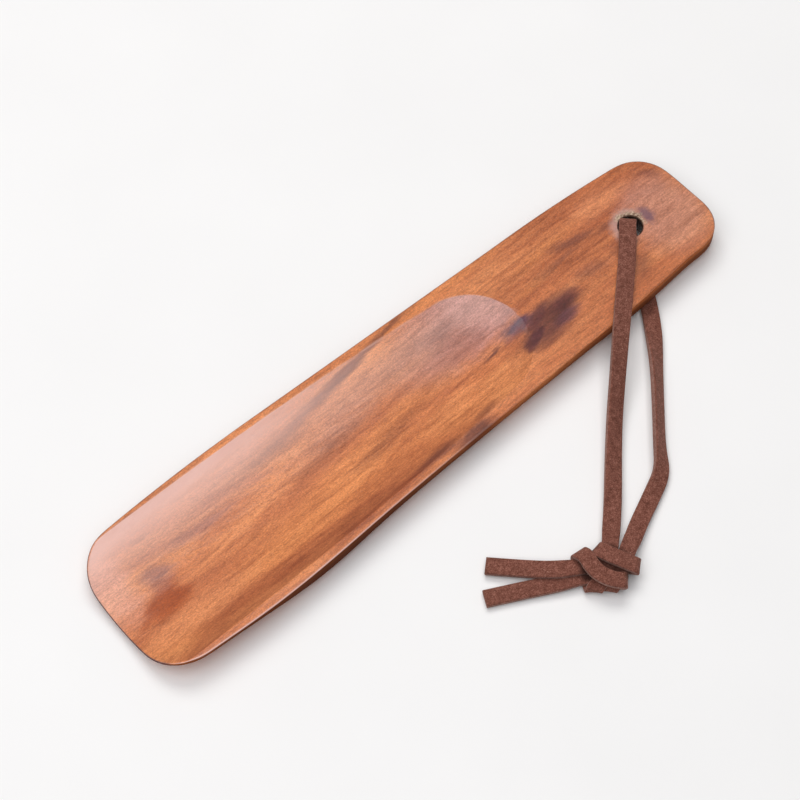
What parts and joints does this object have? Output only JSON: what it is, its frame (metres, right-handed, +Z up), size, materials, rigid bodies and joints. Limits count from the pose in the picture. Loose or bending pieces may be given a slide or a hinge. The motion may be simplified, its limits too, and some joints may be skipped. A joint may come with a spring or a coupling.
{
  "type": "shoehorn",
  "caption": "Short carved wooden shoehorn with a scooped blade, a flat handle and a flat suede lace tied through its hang hole.",
  "frame": {"origin": "below the middle of the wood, on the surface it rests on; the lace isn't counted", "axes": "+X along the shoehorn to the handle end, +Y to the side away from the resting lace, +Z up out of the scoop"},
  "size_m": [0.196, 0.0996, 0.0097],
  "materials": {
    "lacquered_wood": "clear gloss lacquer over warm orange-brown wood",
    "brown_suede": "matt brown suede"
  },
  "bodies": {
    "shoehorn": {"shoehorn_blade": "lacquered_wood"},
    "lace": {"lace_front_strand": "brown_suede", "lace_back_strand": "brown_suede", "lace_knot": "brown_suede", "lace_tail_upper": "brown_suede", "lace_tail_lower": "brown_suede"}
  },
  "joints": [
    {"name": "lace_swing", "type": "hinge", "parent": "shoehorn", "child": "lace", "pos_m": [0.0778, 0, 0.00505], "axis": [0, 0, 1], "range_deg": [0, 260]}
  ]
}
